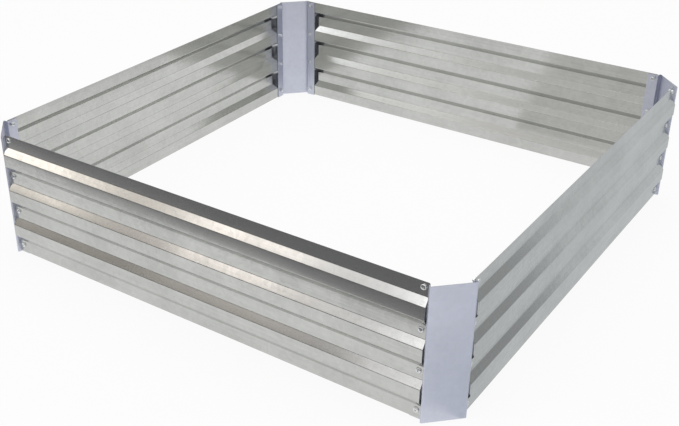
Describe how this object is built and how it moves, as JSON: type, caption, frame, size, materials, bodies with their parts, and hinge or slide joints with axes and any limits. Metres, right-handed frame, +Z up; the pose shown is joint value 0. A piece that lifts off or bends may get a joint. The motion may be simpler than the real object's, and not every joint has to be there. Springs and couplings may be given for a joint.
{
  "type": "raised garden bed",
  "caption": "Low square raised garden bed of ribbed galvanised steel panels bolted to cut-off corner brackets, open above and below.",
  "frame": {"origin": "on the ground, under the middle of the bed", "axes": "+Z up, X and Y along the walls, -Y towards the front panel"},
  "size_m": [1.22, 1.22, 0.302],
  "materials": {
    "ribbed_sheet": "galvanised, satin, faint lengthways rolling streaks",
    "bracket_plate": "galvanised, matt, bluish grey",
    "bolt_zinc": "bright zinc plate"
  },
  "bodies": {
    "root": {"panel_front": "ribbed_sheet", "panel_right": "ribbed_sheet", "panel_back": "ribbed_sheet", "panel_left": "ribbed_sheet", "corner_bracket_front_right": "bracket_plate", "corner_bracket_back_right": "bracket_plate", "corner_bracket_back_left": "bracket_plate", "corner_bracket_front_left": "bracket_plate", "bolt_front_left_1": "bolt_zinc", "bolt_front_left_2": "bolt_zinc", "bolt_front_left_3": "bolt_zinc", "bolt_front_left_4": "bolt_zinc", "bolt_front_right_1": "bolt_zinc", "bolt_front_right_2": "bolt_zinc", "bolt_front_right_3": "bolt_zinc", "bolt_front_right_4": "bolt_zinc", "bolt_right_front_1": "bolt_zinc", "bolt_right_front_2": "bolt_zinc", "bolt_right_front_3": "bolt_zinc", "bolt_right_front_4": "bolt_zinc", "bolt_right_back_1": "bolt_zinc", "bolt_right_back_2": "bolt_zinc", "bolt_right_back_3": "bolt_zinc", "bolt_right_back_4": "bolt_zinc", "bolt_back_right_1": "bolt_zinc", "bolt_back_right_2": "bolt_zinc", "bolt_back_right_3": "bolt_zinc", "bolt_back_right_4": "bolt_zinc", "bolt_back_left_1": "bolt_zinc", "bolt_back_left_2": "bolt_zinc", "bolt_back_left_3": "bolt_zinc", "bolt_back_left_4": "bolt_zinc", "bolt_left_back_1": "bolt_zinc", "bolt_left_back_2": "bolt_zinc", "bolt_left_back_3": "bolt_zinc", "bolt_left_back_4": "bolt_zinc", "bolt_left_front_1": "bolt_zinc", "bolt_left_front_2": "bolt_zinc", "bolt_left_front_3": "bolt_zinc", "bolt_left_front_4": "bolt_zinc"}
  },
  "joints": []
}
